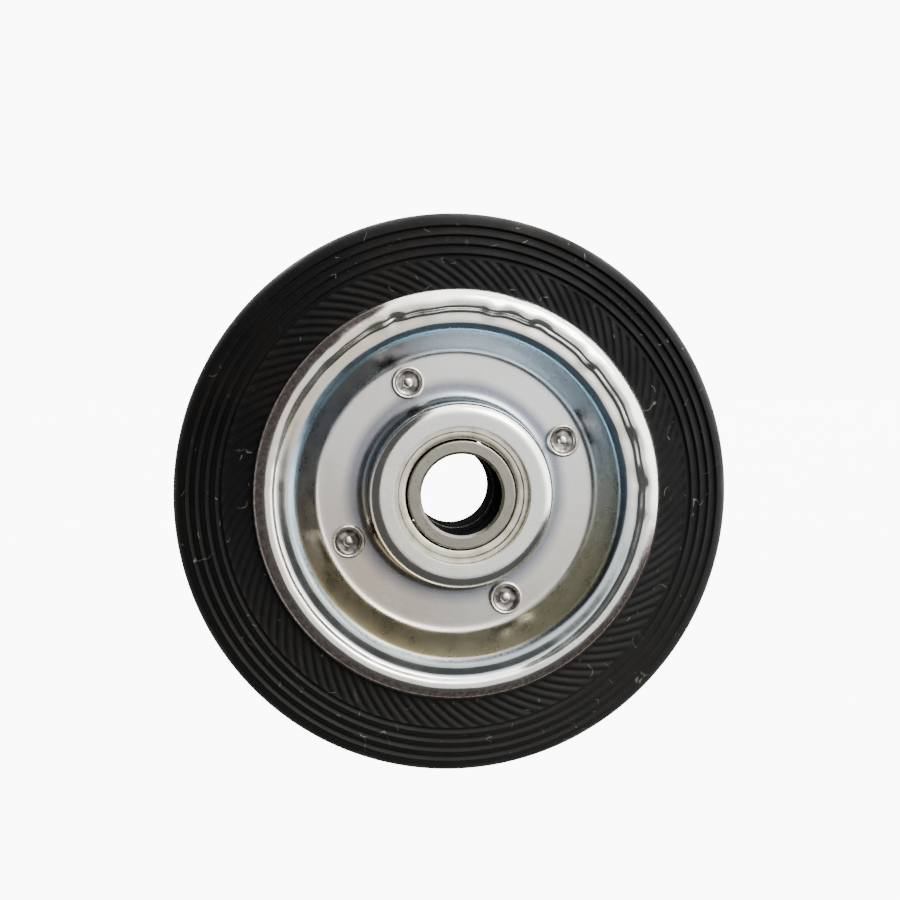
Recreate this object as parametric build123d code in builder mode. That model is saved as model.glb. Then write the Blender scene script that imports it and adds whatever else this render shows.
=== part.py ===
"""Rubber-tyred wheel of pressed steel, on two shielded ball bearings.

Two equal discs, each pressed from one sheet, are riveted back to back. Each
carries a ball bearing in the cup at its middle, and their dished rims grip the
foot of a solid rubber tyre. A sleeve keeps the two inner rings apart.

The origin is the wheel's centre and the wheel spins about Y. The front faces -Y.
Lengths are in millimetres. A profile is drawn in the XY plane, where x is the
radius and y is the distance from the middle plane.
"""

import os
from math import cos, radians, sin, sqrt, tan

from build123d import *

os.makedirs("parts", exist_ok=True)

# Axle and ball bearings
axle_bore_radius = 12.5
bearing_outer_radius = 26.0
bearing_width = 15.0
ball_radius = 3.969
ball_count = 9
race_clearance = 0.02
groove_gap = 0.14
land_offset = 2.65
bore_chamfer = 0.8
ring_corner = 1.2
inner_ring_corner = 0.3
spacer_length = 4.0
spacer_wall = 2.4
spacer_bore_gap = 0.25

# Ribbon cage between the rings
cage_sheet = 0.7
cage_width = 2.9
pocket_clearance = 0.08
cage_rivet_radius = 0.55
cage_rivet_head_radius = 0.95
cage_rivet_head_height = 0.45
cage_rivet_clearance = 0.03

# Shields
shield_sheet = 0.4
shield_depth = 0.9
shield_joggle = 0.5
shield_rim = 1.0
shield_seat_gap = 0.05
shield_ring_gap = 1.1
shield_step_width = 1.5

# Pressed discs
sheet = 2.5
cup_fit = 0.02
lip_hole_radius = 21.0
lip_edge_chamfer = 0.6
cup_bend = 1.0
web_bend = 3.7
foot_bend = 3.0
corner_bend = 1.2
valley_bend = 1.5
crest_bend = 0.9
wall_angle = 58.0
band_angle = 5.0
rise_angle = 50.0
edge_angle = 50.0
wall_straight = 8.7
band_straight = 1.95
rise_straight = 0.2
edge_straight = 2.0

# Rivets through both webs
rivet_count = 4
rivet_start_angle = 24.5
rivet_shank_radius = 3.0
rivet_hole_gap = 0.05
rivet_head_radius = 5.25
rivet_head_height = 2.0
rivet_rim_width = 1.15
rivet_cup_floor = 0.5
rivet_cup_floor_radius = 2.7
rivet_button_radius = 1.85
rivet_button_height = 1.1
rivet_tail_radius = 5.0
rivet_tail_height = 2.1
rivet_room = 0.3

# Tyre
tyre_radius = 89.0
crown_radius = 6.5
crown_half_angle = 73.0
side_radius = 180.0
tyre_seat_gap = 0.1
tyre_foot_gap = 4.0
groove_rings = 4
first_ring_depth = 5.4
ring_pitch = 3.1
ring_groove_radius = 0.55

# Bearing sizes that follow from the ones above
pitch_radius = (axle_bore_radius + bearing_outer_radius) / 2
hub_half_width = spacer_length / 2 + bearing_width
bearing_middle = spacer_length / 2 + bearing_width / 2
inner_land_radius = pitch_radius - land_offset
outer_land_radius = pitch_radius + land_offset
race_radius = ball_radius + groove_gap
inner_race_centre = pitch_radius + groove_gap - race_clearance
outer_race_centre = pitch_radius - groove_gap + race_clearance
pocket_radius = ball_radius + pocket_clearance
shield_outer_radius = outer_land_radius + shield_rim
shield_seat = bearing_width / 2 - shield_depth - shield_sheet
shield_inner_radius = inner_land_radius + shield_ring_gap
shield_step_radius = shield_inner_radius + shield_step_width


def bend_reach(bend, turn):
    """How far a bend of a radius reaches along each of the two runs that it joins."""
    return bend * tan(radians(turn) / 2)


# Disc sizes that follow: the outline runs along the face that is seen
cup_radius = bearing_outer_radius + cup_fit
boss_radius = cup_radius + sheet
boss_half_width = hub_half_width + sheet
rivet_circle_radius = boss_radius + web_bend + rivet_head_radius + rivet_room
foot_reach = bend_reach(foot_bend, wall_angle)
corner_reach = bend_reach(corner_bend + sheet, wall_angle + band_angle)
valley_reach = bend_reach(valley_bend, band_angle + rise_angle)
crest_reach = bend_reach(crest_bend + sheet, rise_angle + edge_angle)
rim_foot_radius = rivet_circle_radius + rivet_head_radius + rivet_room + foot_reach

disc_start = [(lip_hole_radius, boss_half_width), (boss_radius, boss_half_width), (boss_radius, sheet)]
rim_foot = (rim_foot_radius, sheet)
# Length of each straight run of the rim from corner to corner, and its slope
rim_runs = [
    (foot_reach + wall_straight + corner_reach, wall_angle),
    (corner_reach + band_straight + valley_reach, -band_angle),
    (valley_reach + rise_straight + crest_reach, rise_angle),
    (crest_reach + edge_straight, -edge_angle),
]

# Inner radius of each bend, and whether the bend is crowned as seen from outside
disc_bends = [
    (cup_bend, True),
    (web_bend, False),
    (foot_bend, False),
    (corner_bend, True),
    (valley_bend, False),
    (crest_bend, True),
]


def disc_corners():
    """The corners of the disc's outline, from the bearing hole to the edge of the lip."""
    points = [Vector(*point) for point in (*disc_start, rim_foot)]
    for length, slope in rim_runs:
        step = Vector(length * cos(radians(slope)), length * sin(radians(slope)))
        points.append(points[-1] + step)
    return points


def line_below(depth):
    """The disc's outline, set in from the face that is seen by a depth."""
    points = disc_corners()
    runs = [(end - start).normalized() for start, end in zip(points, points[1:])]
    normals = [Vector(run.Y, -run.X) for run in runs]
    before = [normals[0], *normals]
    after = [*normals, normals[-1]]
    shifts = [(one + two) / (1 + one.dot(two)) for one, two in zip(before, after)]
    return [point + shift * depth for point, shift in zip(points, shifts)]


def bends_below(depth):
    """The radius of each bend, measured at a depth below the face that is seen."""
    return [bend + (sheet - depth if crowned else depth) for bend, crowned in disc_bends]


def build_disc():
    """One pressed disc, on the +Y side: cup, flat web, sloped wall and rolled lip."""
    with BuildPart() as disc:
        with BuildSketch() as profile:
            with BuildLine():
                seen_face = FilletPolyline(*line_below(0), radius=bends_below(0))
                back_face = FilletPolyline(*line_below(sheet), radius=bends_below(sheet))
                Line(seen_face @ 0, back_face @ 0)
                Line(seen_face @ 1, back_face @ 1)
            make_face()
            chamfer(profile.vertices().group_by(Axis.X)[0].sort_by(Axis.Y)[-1], lip_edge_chamfer)
            chamfer(profile.vertices().sort_by(Axis.X)[-1], lip_edge_chamfer)
        revolve(axis=Axis.Y)
        with BuildSketch(Plane.XZ):
            with PolarLocations(rivet_circle_radius, rivet_count, rivet_start_angle):
                Circle(rivet_shank_radius + rivet_hole_gap)
        extrude(amount=boss_half_width, both=True, mode=Mode.SUBTRACT)
    return disc.part


def tyre_side(radius):
    """Half the tyre's width at a radius on its side, below the crown."""
    centre_radius = tyre_radius - crown_radius
    reach = side_radius - crown_radius
    side_x = centre_radius - reach * cos(radians(crown_half_angle))
    side_y = -reach * sin(radians(crown_half_angle))
    return side_y + sqrt(side_radius**2 - (radius - side_x) ** 2)


def build_tyre():
    """The solid tyre: rounded crown, hollow-ground sides, and a foot that fills the rim."""
    crown_centre = tyre_radius - crown_radius
    shoulder_radius = crown_centre + crown_radius * cos(radians(crown_half_angle))
    foot_radius = rim_foot_radius + tyre_foot_gap
    middle_radius = (foot_radius + shoulder_radius) / 2
    with BuildPart() as tyre:
        with BuildSketch():
            with BuildLine():
                crown = CenterArc((crown_centre, 0), crown_radius, -crown_half_angle, 2 * crown_half_angle)
                side = ThreePointArc(
                    crown @ 1,
                    (middle_radius, tyre_side(middle_radius)),
                    (foot_radius, tyre_side(foot_radius)),
                )
                Line(side @ 1, (foot_radius, -tyre_side(foot_radius)))
                ThreePointArc(
                    (foot_radius, -tyre_side(foot_radius)),
                    (middle_radius, -tyre_side(middle_radius)),
                    crown @ 0,
                )
            make_face()
            add(rim_space(), mode=Mode.SUBTRACT)
            for index in range(groove_rings):
                ring = tyre_radius - first_ring_depth - index * ring_pitch
                with Locations((ring, tyre_side(ring)), (ring, -tyre_side(ring))):
                    Circle(ring_groove_radius, mode=Mode.SUBTRACT)
        revolve(axis=Axis.Y)
    return tyre.part


def rim_space():
    """The profile of what the discs take up: each sheet and all that lies outside it."""
    seat_depth = sheet + tyre_seat_gap
    lip_edge = disc_corners()[-1]
    with BuildSketch() as space:
        with BuildLine():
            seat = FilletPolyline(*line_below(seat_depth), radius=bends_below(seat_depth))
            Polyline(
                seat @ 1,
                (lip_edge.X + tyre_seat_gap, lip_edge.Y),
                (lip_edge.X + tyre_seat_gap, 2 * boss_half_width),
                (lip_hole_radius, 2 * boss_half_width),
                seat @ 0,
            )
        make_face()
        mirror(about=Plane.XZ)
    return space.sketch


def build_rivet(number):
    """A rivet with a cupped front head round a small button, and a low domed tail."""
    angle = radians(rivet_start_angle + (number - 1) * 360 / rivet_count)
    spot = Vector(rivet_circle_radius * cos(angle), 0, rivet_circle_radius * sin(angle))
    rim_middle = rivet_head_radius - rivet_rim_width / 2
    rim_side = rivet_head_height - rivet_rim_width / 2
    button_top = rivet_cup_floor + rivet_button_height
    with BuildPart() as rivet:
        with BuildSketch(Plane(origin=spot, x_dir=(1, 0, 0), z_dir=(0, 0, 1))):
            with BuildLine():
                button = TangentArc(
                    (0, -sheet - button_top),
                    (rivet_button_radius, -sheet - rivet_cup_floor),
                    tangent=(1, 0),
                )
                floor = Line(button @ 1, (rivet_cup_floor_radius, -sheet - rivet_cup_floor))
                cup = TangentArc(
                    floor @ 1,
                    (rivet_head_radius - rivet_rim_width, -sheet - rim_side),
                    tangent=floor % 1,
                )
                rim = ThreePointArc(
                    cup @ 1,
                    (rim_middle, -sheet - rivet_head_height),
                    (rivet_head_radius, -sheet - rim_side),
                )
                Polyline(
                    rim @ 1,
                    (rivet_head_radius, -sheet),
                    (rivet_shank_radius, -sheet),
                    (rivet_shank_radius, sheet),
                    (rivet_tail_radius, sheet),
                )
                TangentArc(
                    (0, sheet + rivet_tail_height),
                    (rivet_tail_radius, sheet),
                    tangent=(1, 0),
                )
                Line((0, sheet + rivet_tail_height), (0, -sheet - button_top))
            make_face()
        revolve(axis=Axis(spot, (0, 1, 0)))
    return rivet.part


def build_inner_ring():
    """Inner ring of the bearing on the +Y side, with its ball groove."""
    with BuildPart() as ring:
        with BuildSketch() as profile:
            with Locations(((axle_bore_radius + inner_land_radius) / 2, bearing_middle)):
                Rectangle(inner_land_radius - axle_bore_radius, bearing_width)
            bore_side, land_side = profile.vertices().group_by(Axis.X)
            chamfer(bore_side, bore_chamfer)
            chamfer(land_side, inner_ring_corner)
            with Locations((inner_race_centre, bearing_middle)):
                Circle(race_radius, mode=Mode.SUBTRACT)
        revolve(axis=Axis.Y)
    return ring.part


def build_outer_ring():
    """Outer ring of the bearing on the +Y side, with its ball groove and shield seats."""
    seat_depth = bearing_width / 2 - shield_seat
    with BuildPart() as ring:
        with BuildSketch() as profile:
            with Locations(((outer_land_radius + bearing_outer_radius) / 2, bearing_middle)):
                Rectangle(bearing_outer_radius - outer_land_radius, bearing_width)
            fillet(profile.vertices().group_by(Axis.X)[-1], ring_corner)
            with Locations((outer_race_centre, bearing_middle)):
                Circle(race_radius, mode=Mode.SUBTRACT)
            for end in (1, -1):
                seat_middle = bearing_middle + end * (bearing_width - seat_depth) / 2
                with Locations((outer_land_radius, seat_middle)):
                    Rectangle(2 * (shield_rim + shield_seat_gap), seat_depth, mode=Mode.SUBTRACT)
        revolve(axis=Axis.Y)
    return ring.part


def build_balls():
    """The balls of the bearing on the +Y side, as separate solids."""
    with BuildPart() as balls:
        with Locations(Plane((0, bearing_middle, 0), x_dir=(1, 0, 0), z_dir=(0, 1, 0))):
            with PolarLocations(pitch_radius, ball_count):
                Sphere(ball_radius)
    return balls.part


def build_cage_half(end):
    """One half of the ribbon cage: a flat ring with a round pocket over each ball."""
    ring_plane = Plane((0, bearing_middle, 0), x_dir=(1, 0, 0), z_dir=(0, end, 0))
    depth = pocket_radius + cage_sheet
    rivet_angle = 180 / ball_count
    with BuildPart() as half:
        with BuildSketch(ring_plane):
            Circle(pitch_radius + cage_width)
        extrude(amount=cage_sheet)
        with Locations(ring_plane):
            with PolarLocations(pitch_radius, ball_count):
                Sphere(depth)
        with BuildSketch(ring_plane):
            Circle(pitch_radius + cage_width / 2)
            Circle(pitch_radius - cage_width / 2, mode=Mode.SUBTRACT)
        extrude(amount=depth, mode=Mode.INTERSECT)
        with Locations(ring_plane):
            with PolarLocations(pitch_radius, ball_count):
                Sphere(pocket_radius, mode=Mode.SUBTRACT)
        with BuildSketch(ring_plane):
            with PolarLocations(pitch_radius, ball_count, rivet_angle):
                Circle(cage_rivet_radius + cage_rivet_clearance)
        extrude(amount=cage_sheet, mode=Mode.SUBTRACT)
    return half.part


def build_cage_rivets():
    """The small rivets that join the two halves of a cage, one between each two balls."""
    length = 2 * (cage_sheet + cage_rivet_head_height)
    start = bearing_middle - cage_sheet - cage_rivet_head_height
    rivet_angle = 180 / ball_count
    with BuildPart() as rivets:
        with BuildSketch(Plane((0, start, 0), x_dir=(1, 0, 0), z_dir=(0, 1, 0))):
            with PolarLocations(pitch_radius, ball_count, rivet_angle):
                Circle(cage_rivet_radius)
        extrude(amount=length)
        for end in (1, -1):
            face_plane = Plane(
                (0, bearing_middle + end * cage_sheet, 0), x_dir=(1, 0, 0), z_dir=(0, end, 0)
            )
            with BuildSketch(face_plane):
                with PolarLocations(pitch_radius, ball_count, rivet_angle):
                    Circle(cage_rivet_head_radius)
            extrude(amount=cage_rivet_head_height)
    return rivets.part


def build_shield(end):
    """A pressed shield, seated in the outer ring and joggled in towards the balls."""
    seat = bearing_middle + end * shield_seat
    with BuildPart() as shield:
        with BuildSketch():
            with BuildLine():
                Polyline(
                    (shield_outer_radius, seat),
                    (shield_outer_radius, seat + end * shield_sheet),
                    (shield_step_radius + shield_sheet, seat + end * shield_sheet),
                    (shield_step_radius, seat + end * (shield_sheet - shield_joggle)),
                    (shield_inner_radius, seat + end * (shield_sheet - shield_joggle)),
                    (shield_inner_radius, seat - end * shield_joggle),
                    (shield_step_radius + shield_sheet, seat - end * shield_joggle),
                    (shield_step_radius + 2 * shield_sheet, seat),
                    close=True,
                )
            make_face()
        revolve(axis=Axis.Y)
    return shield.part


def build_spacer():
    """The sleeve that keeps the two inner rings apart."""
    with BuildPart() as spacer:
        with BuildSketch(Plane.XZ):
            Circle(axle_bore_radius + spacer_bore_gap + spacer_wall)
            Circle(axle_bore_radius + spacer_bore_gap, mode=Mode.SUBTRACT)
        extrude(amount=spacer_length / 2, both=True)
    return spacer.part


def save(part, name):
    """Label a finished piece and write its file."""
    part.label = name
    export_step(part, f"parts/{name}.step")


save(build_tyre(), "tyre")
save(build_spacer(), "spacer_sleeve")
for index in range(1, rivet_count + 1):
    save(build_rivet(index), f"rivet_{index}")

paired_pieces = {
    "disc": build_disc(),
    "inner_ring": build_inner_ring(),
    "outer_ring": build_outer_ring(),
    "balls": build_balls(),
    "cage_outer_half": build_cage_half(1),
    "cage_inner_half": build_cage_half(-1),
    "cage_rivets": build_cage_rivets(),
    "outer_shield": build_shield(1),
    "inner_shield": build_shield(-1),
}
for name, piece in paired_pieces.items():
    save(mirror(piece, about=Plane.XZ), f"front_{name}")
    save(piece, f"rear_{name}")
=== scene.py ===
"""Looks of a rubber-tyred wheel of pressed steel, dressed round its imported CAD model.

The wheel's axle runs along Y and its front faces -Y. Lengths are in metres. An outline is
drawn beside the axle, with X as the radius and Y as the place along the axle, and is then
spun about Y, as a lathe or a press would round it.
"""

import logging
import math
import random
from dataclasses import dataclass, field
from enum import Enum
from typing import Callable

import bpy
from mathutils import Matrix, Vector


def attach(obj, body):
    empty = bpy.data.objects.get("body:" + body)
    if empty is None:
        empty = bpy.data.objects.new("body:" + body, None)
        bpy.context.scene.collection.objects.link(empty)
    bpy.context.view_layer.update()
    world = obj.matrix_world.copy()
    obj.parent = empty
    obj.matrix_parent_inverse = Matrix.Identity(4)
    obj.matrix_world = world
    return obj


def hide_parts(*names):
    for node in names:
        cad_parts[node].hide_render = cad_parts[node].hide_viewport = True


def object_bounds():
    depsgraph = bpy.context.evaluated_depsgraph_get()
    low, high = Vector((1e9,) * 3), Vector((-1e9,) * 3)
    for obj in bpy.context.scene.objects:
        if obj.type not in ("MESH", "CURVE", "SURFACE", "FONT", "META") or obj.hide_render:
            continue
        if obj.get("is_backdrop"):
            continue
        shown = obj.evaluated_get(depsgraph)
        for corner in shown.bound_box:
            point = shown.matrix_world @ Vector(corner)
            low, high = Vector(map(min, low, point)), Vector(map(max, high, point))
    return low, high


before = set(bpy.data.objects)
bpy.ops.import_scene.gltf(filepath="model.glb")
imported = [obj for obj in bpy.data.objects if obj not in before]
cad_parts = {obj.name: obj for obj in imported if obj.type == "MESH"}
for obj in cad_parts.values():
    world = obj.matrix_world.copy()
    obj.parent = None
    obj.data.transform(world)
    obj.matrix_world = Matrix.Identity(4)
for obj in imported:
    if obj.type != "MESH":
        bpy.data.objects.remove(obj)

LOG = logging.getLogger("wheel")
MM = 0.001
FULL_TURN = 2 * math.pi
WELD = 1e-6

Colour = tuple[float, float, float]
Place = tuple[float, float]
Socket = bpy.types.NodeSocket


class Side(Enum):
    """The two sides of the wheel, with the sign of Y that each one lies on."""

    FRONT = -1
    REAR = 1

    @property
    def word(self) -> str:
        """The side's name as the nodes carry it."""
        return self.name.lower()


class Body(Enum):
    """The bodies that pieces ride on."""

    AXLE_SIDE = "axle_side"
    WHEEL = "wheel"


# Modelling by hand


def deselect_all() -> None:
    """Leave edit mode and let go of every object."""
    if bpy.context.object and bpy.context.object.mode != "OBJECT":
        bpy.ops.object.mode_set(mode="OBJECT")
    for item in bpy.context.selected_objects:
        item.select_set(False)


def take(piece: bpy.types.Object) -> None:
    """Make a piece the one that operators work on.

    Args:
        piece: The object to select and make active.
    """
    deselect_all()
    piece.select_set(True)
    bpy.context.view_layer.objects.active = piece


def pick(piece: bpy.types.Object, test: Callable[[Vector], bool]) -> int:
    """Select the points of a mesh that pass a test, and go into edit mode.

    Args:
        piece: The mesh object.
        test: Says of a point's place whether it is wanted.

    Returns:
        How many points were selected.
    """
    take(piece)
    mesh = piece.data
    wanted = [test(point.co) for point in mesh.vertices]
    mesh.vertices.foreach_set("select", wanted)
    mesh.edges.foreach_set("select", [all(wanted[i] for i in e.vertices) for e in mesh.edges])
    mesh.polygons.foreach_set("select", [all(wanted[i] for i in f.vertices) for f in mesh.polygons])
    bpy.context.tool_settings.mesh_select_mode = (True, False, False)
    bpy.ops.object.mode_set(mode="EDIT")
    return sum(wanted)


def press(piece: bpy.types.Object, spot: Vector, move: Vector, reach: float) -> None:
    """Push a soft dent or swelling into a surface.

    Args:
        piece: The mesh object.
        spot: The middle of the dent; the nearest point of the mesh is pushed.
        move: How far and which way the middle moves.
        reach: How far from the middle the dent fades out.
    """
    nearest = min(piece.data.vertices, key=lambda point: (point.co - spot).length_squared).co.copy()
    pick(piece, lambda place: (place - nearest).length < WELD)
    bpy.ops.transform.translate(
        value=move,
        use_proportional_edit=True,
        proportional_edit_falloff="SMOOTH",
        proportional_size=reach,
    )
    bpy.ops.object.mode_set(mode="OBJECT")


def apply_modifiers(piece: bpy.types.Object) -> None:
    """Apply all the modifiers of a piece, in order."""
    take(piece)
    for modifier in list(piece.modifiers):
        bpy.ops.object.modifier_apply(modifier=modifier.name)


def smooth(piece: bpy.types.Object, angle: float) -> None:
    """Shade a piece smooth, but for edges sharper than an angle in degrees."""
    take(piece)
    bpy.ops.object.shade_smooth_by_angle(angle=math.radians(angle))


def arc(centre: Place, radius: float, start: float, end: float, steps: int) -> list[Place]:
    """Points along an arc.

    Args:
        centre: The arc's centre, as radius and place along the axle.
        radius: The arc's own radius.
        start: The angle of the first point, in degrees.
        end: The angle of the last point, in degrees.
        steps: How many straight steps the arc is cut into.

    Returns:
        The points, from start to end.
    """
    turns = [math.radians(start + (end - start) * step / steps) for step in range(steps + 1)]
    return [(centre[0] + radius * math.cos(a), centre[1] + radius * math.sin(a)) for a in turns]


class Outline:
    """A line of edges that is drawn point by point, bent at its corners and spun round."""

    def __init__(self, name: str, start: Place) -> None:
        """Put the first point down.

        Args:
            name: The name of the piece.
            start: The first point, as radius and place along the axle.
        """
        deselect_all()
        bpy.ops.mesh.primitive_plane_add(size=MM)
        self.piece = bpy.context.object
        self.piece.name = self.piece.data.name = name
        bpy.ops.object.mode_set(mode="EDIT")
        bpy.ops.mesh.select_all(action="SELECT")
        bpy.ops.mesh.merge(type="CENTER")
        self.pen = Vector((start[0], start[1], 0))
        bpy.ops.transform.translate(value=self.pen)

    def to(self, *places: Place) -> "Outline":
        """Draw on to each of the places in turn."""
        for place in places:
            step = Vector((place[0], place[1], 0)) - self.pen
            if step.length > WELD:
                bpy.ops.mesh.extrude_region_move(TRANSFORM_OT_translate={"value": step})
                self.pen += step
        return self

    def close(self) -> "Outline":
        """Join the last point to the first."""
        bpy.ops.object.mode_set(mode="OBJECT")
        mesh = self.piece.data
        uses = [0] * len(mesh.vertices)
        for edge in mesh.edges:
            for index in edge.vertices:
                uses[index] += 1
        ends = [mesh.vertices[index].co.copy() for index, used in enumerate(uses) if used == 1]
        pick(self.piece, lambda place: any((place - end).length < WELD for end in ends))
        bpy.ops.mesh.edge_face_add()
        return self

    def bend(self, place: Place, reach: float, steps: int) -> "Outline":
        """Round the corner at a place.

        Args:
            place: Where the corner is.
            reach: How far along each run the bend starts.
            steps: How many straight steps the bend is cut into.

        Returns:
            The outline itself.
        """
        corner = Vector((place[0], place[1], 0))
        bpy.ops.object.mode_set(mode="OBJECT")
        pick(self.piece, lambda point: (point - corner).length < WELD * 10)
        bpy.ops.mesh.bevel(offset=reach, offset_type="OFFSET", segments=steps, affect="VERTICES")
        return self

    def divide(self, longest: float) -> "Outline":
        """Cut every run that is longer than a length into equal shorter ones."""
        bpy.ops.object.mode_set(mode="OBJECT")
        mesh = self.piece.data
        for cuts in range(1, 60):
            runs = [
                edge
                for edge in mesh.edges
                if cuts < self.length(edge) / longest <= cuts + 1
            ]
            if not runs:
                continue
            ends = {index for edge in runs for index in edge.vertices}
            mesh.vertices.foreach_set("select", [index in ends for index in range(len(mesh.vertices))])
            chosen = {edge.index for edge in runs}
            mesh.edges.foreach_set("select", [edge.index in chosen for edge in mesh.edges])
            bpy.context.tool_settings.mesh_select_mode = (False, True, False)
            bpy.ops.object.mode_set(mode="EDIT")
            bpy.ops.mesh.subdivide(number_cuts=cuts)
            bpy.ops.object.mode_set(mode="OBJECT")
            mesh = self.piece.data
        bpy.context.tool_settings.mesh_select_mode = (True, False, False)
        bpy.ops.object.mode_set(mode="EDIT")
        return self

    def length(self, edge: bpy.types.MeshEdge) -> float:
        """The length of one of the outline's edges."""
        first, last = (self.piece.data.vertices[index].co for index in edge.vertices)
        return (last - first).length

    def spin(self, steps: int, turn: float = FULL_TURN, centre: Place = (0, 0)) -> bpy.types.Object:
        """Spin the outline about a line along Y.

        Args:
            steps: How many steps the turn takes.
            turn: The whole turn, in radians.
            centre: The line's place, as X and Z.

        Returns:
            The piece, out of edit mode.
        """
        bpy.ops.mesh.select_all(action="SELECT")
        bpy.ops.mesh.spin(steps=steps, angle=turn, center=(centre[0], 0, centre[1]), axis=(0, 1, 0))
        bpy.ops.mesh.select_all(action="SELECT")
        bpy.ops.mesh.remove_doubles(threshold=WELD)
        bpy.ops.mesh.normals_make_consistent(inside=False)
        bpy.ops.object.mode_set(mode="OBJECT")
        return self.piece


# Finishes


class Shader:
    """A material's node tree, with short calls that add a node and join it up."""

    def __init__(self, name: str) -> None:
        """Start an empty material with a Principled surface."""
        self.material = bpy.data.materials.new(name)
        self.material.use_nodes = True
        self.tree = self.material.node_tree
        self.tree.nodes.clear()
        self.surface = self.add("ShaderNodeBsdfPrincipled")
        output = self.add("ShaderNodeOutputMaterial")
        self.join(self.surface.outputs["BSDF"], output.inputs["Surface"])
        self.place = self.add("ShaderNodeTexCoord").outputs["Object"]

    def add(self, kind: str, **settings: object) -> bpy.types.Node:
        """Add a node of a kind and set its properties."""
        node = self.tree.nodes.new(kind)
        for name, value in settings.items():
            setattr(node, name, value)
        return node

    def join(self, source: Socket, target: Socket) -> None:
        """Link an output to an input."""
        self.tree.links.new(source, target)

    def feed(self, target: Socket, value: object) -> None:
        """Link a socket to an input, or set a plain value there."""
        if isinstance(value, bpy.types.NodeSocket):
            self.join(value, target)
        elif isinstance(value, tuple) and len(value) == 3 and target.type == "RGBA":
            target.default_value = (*value, 1)
        else:
            target.default_value = value

    def sum(self, operation: str, *values: object, clamp: bool = False) -> Socket:
        """One step of arithmetic on sockets or numbers."""
        node = self.add("ShaderNodeMath", operation=operation, use_clamp=clamp)
        for target, value in zip(node.inputs, values):
            self.feed(target, value)
        return node.outputs[0]

    def noise(self, scale: float, detail: float = 2, blur: float = 0.5, place: Socket | None = None) -> Socket:
        """Soft random blotches.

        Args:
            scale: Blotches to the metre.
            detail: How many finer layers are laid over the first.
            blur: How strong the finer layers are.
            place: Where it is read, if not at the point's own place.

        Returns:
            The strength, from 0 to 1.
        """
        node = self.add("ShaderNodeTexNoise")
        self.join(place or self.place, node.inputs["Vector"])
        node.inputs["Scale"].default_value = scale
        node.inputs["Detail"].default_value = detail
        node.inputs["Roughness"].default_value = blur
        return node.outputs["Fac"]

    def cells(self, scale: float, place: Socket | None = None, jitter: float = 1) -> Socket:
        """The distance to the nearest of many scattered points, in cells."""
        node = self.add("ShaderNodeTexVoronoi")
        self.join(place or self.place, node.inputs["Vector"])
        node.inputs["Scale"].default_value = scale
        node.inputs["Randomness"].default_value = jitter
        return node.outputs["Distance"]

    def ramp(self, value: Socket, *stops: tuple[float, Colour]) -> Socket:
        """Colours along a value, from (value, colour) stops."""
        node = self.add("ShaderNodeValToRGB")
        elements = node.color_ramp.elements
        while len(elements) < len(stops):
            elements.new(1)
        for element, (position, colour) in zip(elements, stops):
            element.position = position
            element.color = (*colour, 1)
        self.join(value, node.inputs["Fac"])
        return node.outputs["Color"]

    def span(self, value: Socket, low: float, high: float, start: float = 0, end: float = 1) -> Socket:
        """Stretch a value from low and high to start and end, and hold it there."""
        node = self.add("ShaderNodeMapRange", clamp=True)
        for target, number in zip(node.inputs, (value, low, high, start, end)):
            self.feed(target, number)
        return node.outputs["Result"]

    def mix(self, share: object, first: object, second: object, blend: str = "MIX") -> Socket:
        """Blend two colours."""
        node = self.add("ShaderNodeMix", data_type="RGBA", blend_type=blend)
        sockets = [s for s in node.inputs if s.enabled]
        for target, value in zip(sockets, (share, first, second)):
            self.feed(target, value)
        return next(s for s in node.outputs if s.enabled)

    def stretched(self, *scale: float) -> Socket:
        """The point's place with its axes stretched."""
        node = self.add("ShaderNodeMapping")
        self.join(self.place, node.inputs["Vector"])
        node.inputs["Scale"].default_value = scale
        return node.outputs["Vector"]

    def polar(self) -> tuple[Socket, Socket, Socket]:
        """The distance from the axle, the angle round it, and the place along it."""
        split = self.add("ShaderNodeSeparateXYZ")
        self.join(self.place, split.inputs["Vector"])
        across, along, height = split.outputs
        squares = self.sum("ADD", self.sum("MULTIPLY", across, across), self.sum("MULTIPLY", height, height))
        return self.sum("SQRT", squares), self.sum("ARCTAN2", height, across), along

    def bump(self, height: Socket, depth: float, below: Socket | None = None) -> Socket:
        """Raise the surface by a height, up to a depth in metres, over an earlier bump."""
        node = self.add("ShaderNodeBump")
        node.inputs["Strength"].default_value = 1
        node.inputs["Distance"].default_value = depth
        self.join(height, node.inputs["Height"])
        if below:
            self.join(below, node.inputs["Normal"])
        return node.outputs["Normal"]

    def finish(self, **values: object) -> bpy.types.Material:
        """Set the surface's inputs, by their names with spaces as underscores."""
        for name, value in values.items():
            self.feed(self.surface.inputs[name.replace("_", " ")], value)
        return self.material


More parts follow.
